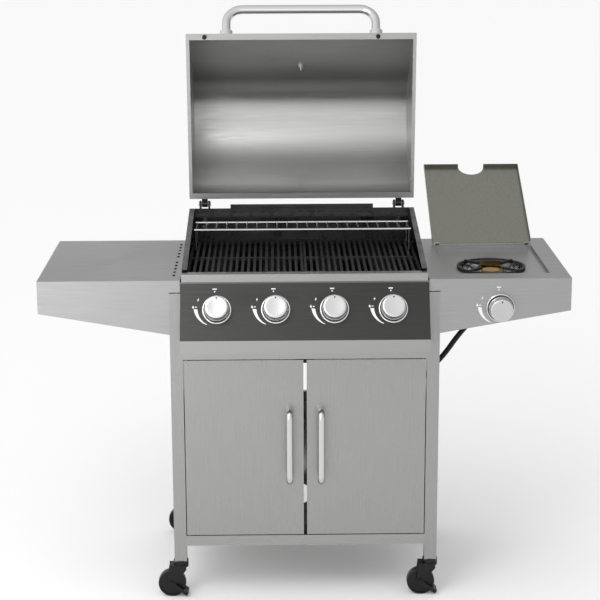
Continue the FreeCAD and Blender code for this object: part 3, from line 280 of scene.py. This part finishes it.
def moulded_plastic():
    """Injection-moulded nylon: dark, softly shining, very fine spark texture."""
    material, tree, shader = new_material("moulded nylon", "#0C0C0D", 0.0, 0.34,
                                          Specular_IOR_Level=0.3)
    bump(tree, shader, cloudy(tree, 0.9, 4.0), 0.04, 0.3)
    dust = ramp(tree, cloudy(tree, 20.0), 0.28, 0.46)
    tree.links.new(dust.outputs[0], shader.inputs["Roughness"])
    return material


def rubber():
    """Extruded nitrile rubber: matte black with a faint bloom."""
    material, tree, shader = new_material("black gas rubber", "#101011", 0.0, 0.58,
                                          Specular_IOR_Level=0.3)
    bump(tree, shader, cloudy(tree, 1.0, 3.0), 0.05, 0.3)
    tinted(tree, shader, cloudy(tree, 18.0), "#0C0C0D", "#161617")
    return material


def olive_steel():
    """Plain-rolled steel inside of the side lid: smooth, greyed olive, long faint rolling lines."""
    material, tree, shader = new_material("lid steel", "#83837A", 1.0, 0.30)
    tinted(tree, shader, grain(tree, 5.0, 160.0, "Z"), "#7E7E74", "#888880")
    return material


def printed_ink(name, code):
    """Screen-printed ink: flat and slightly raised, edges a little worn."""
    material, tree, shader = new_material(name, code, 0.0, 0.5)
    worn = ramp(tree, cloudy(tree, 1.5), 0.42, 0.62)
    tree.links.new(worn.outputs[0], shader.inputs["Roughness"])
    return material


def dial_glass():
    """Flat float glass over the dial."""
    return new_material("dial glass", "#FFFFFF", 0.0, 0.03, Alpha=0.14)[0]


def make_finishes():
    """Every finish by a short key."""
    return {
        "panel_h": brushed("brushed stainless, crosswise", "#9A9A99", "#969695", "#9F9F9E", "X"),
        "panel_v": brushed("brushed stainless, upright", "#979796", "#949493", "#9C9C9B", "Z"),
        "shelf": brushed("brushed stainless, shelf", "#9D9D9D", "#99999A", "#A2A2A2", "X", 0.34),
        "hood": brushed("brushed stainless, hood", "#A4A4A3", "#9F9F9E", "#A9A9A8", "X", 0.36),
        "control": two_tone_front(),
        "chrome": polished_chrome(),
        "knob": satin_cap(),
        "enamel": black_enamel(),
        "iron": cast_iron(),
        "heated": heated_steel(),
        "brass": turned_brass(),
        "paint": caster_paint(),
        "nylon": moulded_plastic(),
        "rubber": rubber(),
        "olive": olive_steel(),
        "white": printed_ink("white marking ink", "#DDDEDE"),
        "black": printed_ink("black marking ink", "#161616"),
        "dial": printed_ink("dial white", "#E8E8E4"),
        "glass": dial_glass(),
    }


NODE_FINISH = {
    "posts": "panel_v", "cart_side_panels": "panel_v", "cart_back_panel": "panel_h",
    "bottom_shelf": "panel_h", "cart_rails": "panel_h", "door_catches": "nylon",
    "control_panel": "control", "burner_valves": "brass", "gas_manifold": "heated",
    "hose_fittings": "brass", "gas_hose": "rubber", "firebox_side_walls": "enamel",
    "firebox_front_wall": "enamel", "firebox_rear_wall": "enamel", "main_burners": "heated",
    "heat_tents": "heated", "cooking_grates": "iron", "warming_rack": "chrome",
    "hood_hinge_brackets": "paint", "hinge_pins": "chrome", "left_shelf": "shelf",
    "right_shelf": "shelf", "side_burner_bowl": "chrome", "side_burner": "brass",
    "pot_trivet": "iron", "fasteners": "chrome", "grease_tray": "heated", "hood_shell": "hood",
    "hood_end_caps": "hood", "hood_handle": "chrome", "hood_bumpers": "rubber",
    "hood_hinge_arms": "paint", "side_burner_lid": "olive", "left_door": "panel_v",
    "right_door": "panel_v", "left_door_handle": "chrome", "right_door_handle": "chrome",
    "caster_stems": "paint", "knob_bezels": "chrome", "thermometer": "chrome",
}
BODY_START_FINISH = (("knob_", "knob"), ("stem_", "brass"), ("fork_", "paint"), ("brake_", "paint"),
                     ("wheel_", "nylon"))


# ---- making pieces ---------------------------------------------------------------------------
def finish_mesh(name, mesh, material, body, smooth_degrees=35):
    """Turns a bmesh into a piece that rides on a body."""
    bmesh.ops.remove_doubles(mesh, verts=mesh.verts, dist=1e-6)
    bmesh.ops.recalc_face_normals(mesh, faces=mesh.faces)
    data = bpy.data.meshes.new(name)
    mesh.to_mesh(data)
    mesh.free()
    piece = bpy.data.objects.new(name, data)
    bpy.context.scene.collection.objects.link(piece)
    data.materials.append(material)
    data.set_sharp_from_angle(angle=math.radians(smooth_degrees))
    for polygon in data.polygons:
        polygon.use_smooth = True
    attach(piece, body)
    return piece


def seat(point, outward, up):
    """A frame on a surface: local Z outward, local Y up the surface."""
    z = Vector(outward).normalized()
    x = Vector(up).cross(z).normalized()
    y = z.cross(x)
    matrix = Matrix((x, y, z)).transposed().to_4x4()
    matrix.translation = Vector(point)
    return matrix


def turned(profile_mm, matrix, steps=64):
    """A lathe-turned shape from radius and height pairs, closed on its axis."""
    mesh = bmesh.new()
    verts = [mesh.verts.new((r * MM, 0, h * MM)) for r, h in profile_mm]
    edges = [mesh.edges.new(pair) for pair in zip(verts, verts[1:])]
    bmesh.ops.spin(mesh, geom=verts + edges, cent=(0, 0, 0), axis=(0, 0, 1), angle=math.tau,
                   steps=steps, use_merge=True)
    bmesh.ops.remove_doubles(mesh, verts=mesh.verts, dist=1e-7)
    mesh.transform(matrix)
    return mesh


def arc(centre, radius, start, end, count=6):
    """Points on a stretch of a circle, in degrees."""
    points = []
    for index in range(count + 1):
        angle = math.radians(start + (end - start) * index / count)
        points.append((centre[0] + radius * math.cos(angle), centre[1] + radius * math.sin(angle)))
    return points


def plate(outline_mm, thick_mm, matrix):
    """A flat shape with a small thickness, standing on local Z = 0."""
    mesh = bmesh.new()
    face = mesh.faces.new([mesh.verts.new((x * MM, y * MM, 0)) for x, y in outline_mm])
    raised = bmesh.ops.extrude_face_region(mesh, geom=[face])
    tops = [item for item in raised["geom"] if isinstance(item, bmesh.types.BMVert)]
    bmesh.ops.translate(mesh, verts=tops, vec=(0, 0, thick_mm * MM))
    bmesh.ops.recalc_face_normals(mesh, faces=mesh.faces)
    mesh.transform(matrix)
    return mesh


def merged(meshes):
    """One bmesh from several."""
    whole = bmesh.new()
    for mesh in meshes:
        data = bpy.data.meshes.new("part")
        mesh.to_mesh(data)
        mesh.free()
        whole.from_mesh(data)
        bpy.data.meshes.remove(data)
    return whole


def knob_seat(name):
    """Where a knob's axis meets its panel, with Y up the panel."""
    joint = JOINTS["turn_" + name]
    outward = Vector(joint["axis"])
    stand_off = bpy.context.scene.grill_sizes.knob_stand_off
    point = Vector(joint["pos_m"]) - outward * stand_off
    up = Vector((0, outward.z, -outward.y))
    return seat(point, outward, up)


# ---- settings --------------------------------------------------------------------------------
class GrillSizes(bpy.types.PropertyGroup):
    """Sizes that a user would change."""
    knob_stand_off: FloatProperty(name="Knob stand-off", description="Knob's back above its panel",
                                  default=8 * MM, unit="LENGTH")
    knob_radius: FloatProperty(name="Knob radius", description="Radius of a knob's face",
                               default=25.5 * MM, unit="LENGTH")
    knob_height: FloatProperty(name="Knob height", description="Top of a knob above its panel",
                               default=29.6 * MM, unit="LENGTH")
    bezel_radius: FloatProperty(name="Bezel radius", description="Outer radius of a knob's ring",
                                default=33 * MM, unit="LENGTH")
    hose_diameter: FloatProperty(name="Hose diameter", description="Outside of the gas hose",
                                 default=12 * MM, unit="LENGTH")
    hose_length: FloatProperty(name="Hose length", description="Length of the gas hose",
                               default=0.495, unit="LENGTH")
    dial_radius: FloatProperty(name="Dial radius", description="Thermometer's printed face",
                               default=30.6 * MM, unit="LENGTH")
    rivet_radius: FloatProperty(name="Rivet radius", description="Head of a hood rivet",
                                default=3.2 * MM, unit="LENGTH")


class GrillLight(bpy.types.PropertyGroup):
    """Light of the studio."""
    world: FloatProperty(name="World", description="Strength of the even light", default=0.98)
    lean: FloatVectorProperty(name="Lean", default=(-0.34, -0.30, 0.0),
                              description="How much brighter the even light is each way")
    key: FloatProperty(name="Key", description="Power of the light over the left, in watts",
                       default=15.0)
    floor: FloatVectorProperty(name="Floor", description="Colour of the floor", subtype="COLOR",
                               default=linear(FLOOR_COLOUR))


# ---- operators ---------------------------------------------------------------------------------
class GRILL_OT_finishes(bpy.types.Operator):
    """Gives every carried-over piece its finish"""
    bl_idname = "grill.finishes"
    bl_label = "Finishes"

    def execute(self, context):
        for name, node in frame["nodes"].items():
            key = NODE_FINISH.get(name)
            if key is None:
                key = [finish for start, finish in BODY_START_FINISH if name.startswith(start)][0]
            node.data.materials.clear()
            node.data.materials.append(FINISHES[key])
        return {"FINISHED"}


class GRILL_OT_knobs(bpy.types.Operator):
    """Turned knobs with a pointer and a dark index mark"""
    bl_idname = "grill.knobs"
    bl_label = "Knobs"

    def execute(self, context):
        sizes = context.scene.grill_sizes
        radius = sizes.knob_radius / MM
        back = sizes.knob_stand_off / MM
        top = sizes.knob_height / MM
        profile = [(0, top - 0.8), (radius * 0.55, top - 0.5)]
        profile += [(radius * 0.80, top), (radius * 0.86, top)]
        profile += arc((radius - 2.2, top - 2.4), 2.2, 80, 0)
        profile += [(radius, back + 6), (radius + 0.5, back + 4)]
        profile += arc((radius + 0.6, back + 1.8), 1.3, 80, -60, 4)
        profile += [(radius, back + 0.2), (0, back + 0.2)]
        for name in KNOBS:
            place = knob_seat(name)
            outline = [(-6, radius - 5), (6, radius - 5), (1.2, radius + 1.0), (-1.2, radius + 1.0)]
            pointer = plate(outline, POINTER_THICK,
                            place @ Matrix.Translation((0, 0, (top - POINTER_SUNK) * MM)))
            bmesh.ops.bevel(pointer, geom=pointer.edges, offset=POINTER_ROUND * MM, segments=2,
                            profile=0.5, affect="EDGES", material=-1)
            mesh = merged([turned(profile, place), pointer])
            piece = finish_mesh("knob_cap_" + name, mesh, FINISHES["knob"], "knob_" + name)
            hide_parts("knob_" + name)
            outline = [(-2.4, radius * 0.84), (2.4, radius * 0.84), (0, radius * 0.66)]
            mark = plate(outline, INDEX_THICK,
                         place @ Matrix.Translation((0, 0, (top - INDEX_SUNK) * MM)))
            index = finish_mesh("knob_index_" + name, mark, FINISHES["black"], "knob_" + name)
        return {"FINISHED"}


class GRILL_OT_bezels(bpy.types.Operator):
    """Rolled chrome ring behind each knob"""
    bl_idname = "grill.bezels"
    bl_label = "Knob rings"

    def execute(self, context):
        outer = context.scene.grill_sizes.bezel_radius / MM
        profile = [(RING_INSIDE, 0.1), (RING_INSIDE, RING_FLAT), (outer - 7, RING_FLAT),
                   (outer - 6.4, 2.2)]
        profile += arc((outer - 3, 1.6), 2.8, 165, 20, 8)
        profile += [(outer, RING_FLAT), (outer, 0.1), (RING_INSIDE, 0.1)]
        for name in KNOBS:
            mesh = turned(profile, knob_seat(name), RING_STEPS)
            piece = finish_mesh("ring_" + name, mesh, FINISHES["chrome"], "cart", 50)
        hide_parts("knob_bezels")
        return {"FINISHED"}


class GRILL_OT_marks(bpy.types.Operator):
    """Printed marks round each knob: off bar and dot, spark, flame and a tapered arc"""
    bl_idname = "grill.marks"
    bl_label = "Marks"

    def execute(self, context):
        bar = [(-4.8, -1.3), (4.8, -1.3), (4.8, 1.3), (-4.8, 1.3)]
        spark = [(-1.0, -4.6), (2.4, 1.0), (0.4, 1.0), (1.6, 4.6), (-2.2, -0.8), (-0.2, -0.8)]
        flame = [(0, 4.2), (-1.9, 1.2), (-2.4, -0.8), (-1.2, -2.6), (1.2, -2.6), (2.4, -0.8),
                 (1.7, 1.0), (0.9, 0.2)]
        sweep = []
        back = []
        for step in range(13):
            share = step / 12
            angle = math.radians(176 + 60 * share)
            middle = 46.5 - 8.5 * share
            half = 3.6 * (1 - share) + 0.6
            sweep.append(((middle + half) * math.cos(angle), (middle + half) * math.sin(angle)))
            back.append(((middle - half) * math.cos(angle), (middle - half) * math.sin(angle)))
        dot = arc((0, 0), 1.7, 0, 330, 11)
        short_bar = [(x * 0.42, y * 0.8) for x, y in bar]
        shapes = [(bar, (-4.7, 47.0)), (dot, (-4.7, 41.5)), (spark, (-41.0, 23.0)),
                  (flame, (-51.5, 6.5)), (short_bar, (-45.5, 6.5)), (sweep + back[::-1], (0, -1.5))]
        for name in KNOBS:
            place = knob_seat(name) @ Matrix.Translation((0, 0, INK_LIFT * MM))
            meshes = []
            for outline, (x, y) in shapes:
                moved = [(x + dx, y + dy) for dx, dy in outline]
                meshes.append(plate(moved, INK_THICK, place))
            piece = finish_mesh("marks_" + name, merged(meshes), FINISHES["white"], "cart")
        return {"FINISHED"}


class GRILL_OT_dial(bpy.types.Operator):
    """Thermometer face with plain ticks, a needle and its glass"""
    bl_idname = "grill.dial"
    bl_label = "Dial"

    def execute(self, context):
        radius = context.scene.grill_sizes.dial_radius / MM
        outward = HOOD_FACE
        verts = [vert.co for vert in frame["nodes"]["thermometer"].data.vertices]
        rim = max(vert.dot(outward) for vert in verts)
        ring = [vert for vert in verts if rim - vert.dot(outward) < 0.1 * MM]
        centre = sum(ring, Vector()) / len(ring)
        place = seat(centre, outward, Vector((0, outward.z, -outward.y)))
        under = place @ Matrix.Translation((0, 0, -DIAL_SUNK * MM))
        disc = turned([(0, 0.4), (radius, 0.4), (radius, 0.05), (0, 0.05)], under)
        face = finish_mesh("dial_face", disc, FINISHES["dial"], "hood")
        ticks = []
        outer = radius - TICK_MARGIN
        for index in range(TICK_COUNT):
            length, width = (5.0, 0.55) if index % LONG_TICK_EVERY == 0 else (2.6, 0.3)
            angle = math.radians(225 - TICK_DEGREES * index - 90)
            outline = [(-width, outer - length), (width, outer - length), (width, outer),
                       (-width, outer)]
            turn = under @ Matrix.Rotation(angle, 4, "Z") @ Matrix.Translation((0, 0, 0.42 * MM))
            ticks.append(plate(outline, 0.1, turn))
        needle = [(-0.9, -7), (0.9, -7), (0.5, radius - 9), (-0.5, radius - 9)]
        turn = under @ Matrix.Rotation(math.radians(128), 4, "Z")
        turn = turn @ Matrix.Translation((0, 0, 0.7 * MM))
        ticks.append(plate(needle, 0.2, turn))
        ticks.append(turned([(0, 1.3), (2.2, 1.2), (2.6, 0.45), (0, 0.45)], under, 24))
        piece = finish_mesh("dial_ticks", merged(ticks), FINISHES["black"], "hood")
        pane = turned([(0, 1.95), (radius, 1.8), (radius, 1.55), (0, 1.55)], under)
        glass = finish_mesh("dial_glass", pane, FINISHES["glass"], "hood")
        return {"FINISHED"}


class GRILL_OT_rivets(bpy.types.Operator):
    """Domed rivets down the inner skins of the hood's ends"""
    bl_idname = "grill.rivets"
    bl_label = "Hood rivets"

    def execute(self, context):
        radius = context.scene.grill_sizes.rivet_radius / MM
        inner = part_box("hood_shell")[1][0]
        pin = Vector(JOINTS["hood_hinge"]["pos_m"])
        profile = [(0, RIVET_DOME)] + arc((0, -radius), radius + RIVET_DOME, 80, 48, 5)
        profile += [(radius, 0), (0, 0)]
        heads = []
        for side in (-1, 1):
            for index in range(RIVETS_A_SIDE):
                reach = (RIVET_FIRST + RIVET_PITCH * index) * MM
                point = pin + RIM_START + RIM_ALONG * reach + RIM_INTO * RIVET_IN * MM
                point.x = side * inner
                heads.append(turned(profile, seat(point, (-side, 0, 0), (0, 0, 1)), 20))
        piece = finish_mesh("hood_rivets", merged(heads), FINISHES["chrome"], "hood")
        return {"FINISHED"}


class GRILL_OT_hose(bpy.types.Operator):
    """Rubber gas hose on its one smooth curve"""
    bl_idname = "grill.hose"
    bl_label = "Gas hose"

    def execute(self, context):
        sizes = context.scene.grill_sizes
        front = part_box("posts")[0][1]
        points = [(x * MM, y * MM + front, z * MM) for x, y, z in HOSE]
        curve = bpy.data.curves.new("gas_hose_line", "CURVE")
        curve.dimensions = "3D"
        curve.bevel_depth = sizes.hose_diameter / 2
        curve.bevel_resolution = 8
        curve.resolution_u = 24
        spline = curve.splines.new("NURBS")
        spline.points.add(len(points) - 1)
        for point, place in zip(spline.points, points):
            point.co = (*place, 1)
        spline.order_u = 3
        spline.use_endpoint_u = True
        curve.materials.append(FINISHES["rubber"])
        piece = bpy.data.objects.new("gas_hose_tube", curve)
        context.scene.collection.objects.link(piece)
        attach(piece, "cart")
        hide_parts("gas_hose")
        return {"FINISHED"}


class GRILL_OT_stage(bpy.types.Operator):
    """Pale floor, soft light and the camera"""
    bl_idname = "grill.stage"
    bl_label = "Stage"

    def execute(self, context):
        light = context.scene.grill_light
        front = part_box("posts")[0][1]
        mesh = bmesh.new()
        bmesh.ops.create_grid(mesh, x_segments=1, y_segments=1, size=FLOOR_HALF)
        data = bpy.data.meshes.new("floor")
        mesh.to_mesh(data)
        mesh.free()
        floor = bpy.data.objects.new("floor", data)
        material, tree, shader = new_material("pale floor", FLOOR_COLOUR, 0.0, 0.9)
        shader.inputs["Base Color"].default_value = (*light.floor, 1)
        data.materials.append(material)
        context.scene.collection.objects.link(floor)
        world = bpy.data.worlds.new("studio")
        world.use_nodes = True
        sky = world.node_tree.nodes["Background"]
        sky.inputs["Color"].default_value = (1, 1, 1, 1)
        way = add(world.node_tree, "ShaderNodeTexCoord")
        lean = add(world.node_tree, "ShaderNodeVectorMath",
                   {"operation": "DOT_PRODUCT", 1: light.lean}, {0: way.outputs["Generated"]})
        level = add(world.node_tree, "ShaderNodeMath", {"operation": "ADD", 1: light.world},
                    {0: lean.outputs["Value"]})
        world.node_tree.links.new(level.outputs[0], sky.inputs["Strength"])
        context.scene.world = world
        for name, place, aim, size, power in (
                ("over_left", (-0.95, front - 1.6, 2.15), (-0.2, front, 0.7), 1.1, light.key),
                ("low_left", (-1.35, front - 2.5, 0.45), (-0.5, front, 0.6), 1.3, light.key * 0.7),
                ("into_hood", (0.1, front - 2.4, 1.2), (0, 0.2, 1.0), 0.8, light.key * 0.10)):
            lamp = bpy.data.lights.new(name, "AREA")
            lamp.energy = power
            lamp.size = size
            holder = bpy.data.objects.new(name, lamp)
            holder.location = place
            towards = Vector(aim) - Vector(place)
            holder.rotation_euler = towards.to_track_quat("-Z", "Y").to_euler()
            holder.visible_camera = False
            context.scene.collection.objects.link(holder)
        camera = bpy.data.cameras.new("camera")
        camera.lens = CAMERA_LENS
        camera.clip_end = CAMERA_REACH
        eye = bpy.data.objects.new("camera", camera)
        turn = Matrix.Rotation(math.radians(CAMERA_TURN), 4, "Z")
        turn = turn @ Matrix.Rotation(math.radians(90 - CAMERA_DOWN), 4, "X")
        turn = turn @ Matrix.Rotation(math.radians(CAMERA_ROLL), 4, "Z")
        eye.matrix_world = Matrix.Translation((CAMERA_X, front - CAMERA_BACK, CAMERA_HIGH)) @ turn
        context.scene.collection.objects.link(eye)
        context.scene.camera = eye
        context.scene.view_settings.view_transform = "Standard"
        return {"FINISHED"}


class GRILL_PT_panel(bpy.types.Panel):
    """Buttons for the grill's pieces"""
    bl_idname = "GRILL_PT_panel"
    bl_label = "Grill"
    bl_space_type = "VIEW_3D"
    bl_region_type = "UI"
    bl_category = "Grill"

    def draw(self, context):
        for operator in OPERATORS:
            self.layout.operator(operator.bl_idname)
        for group in (context.scene.grill_sizes, context.scene.grill_light):
            for name in group.bl_rna.properties.keys():
                if name not in ("rna_type", "name"):
                    self.layout.prop(group, name)


OPERATORS = (GRILL_OT_stage, GRILL_OT_hose, GRILL_OT_finishes, GRILL_OT_knobs, GRILL_OT_bezels,
             GRILL_OT_marks, GRILL_OT_dial, GRILL_OT_rivets)
CLASSES = (GrillSizes, GrillLight) + OPERATORS + (GRILL_PT_panel,)


def register():
    for one in CLASSES:
        bpy.utils.register_class(one)
    bpy.types.Scene.grill_sizes = PointerProperty(type=GrillSizes)
    bpy.types.Scene.grill_light = PointerProperty(type=GrillLight)


def unregister():
    del bpy.types.Scene.grill_light
    del bpy.types.Scene.grill_sizes
    for one in reversed(CLASSES):
        bpy.utils.unregister_class(one)


def main():
    register()
    FINISHES.update(make_finishes())
    for operator in OPERATORS:
        group, name = operator.bl_idname.split(".")
        getattr(getattr(bpy.ops, group), name)()


if __name__ == "__main__":
    main()
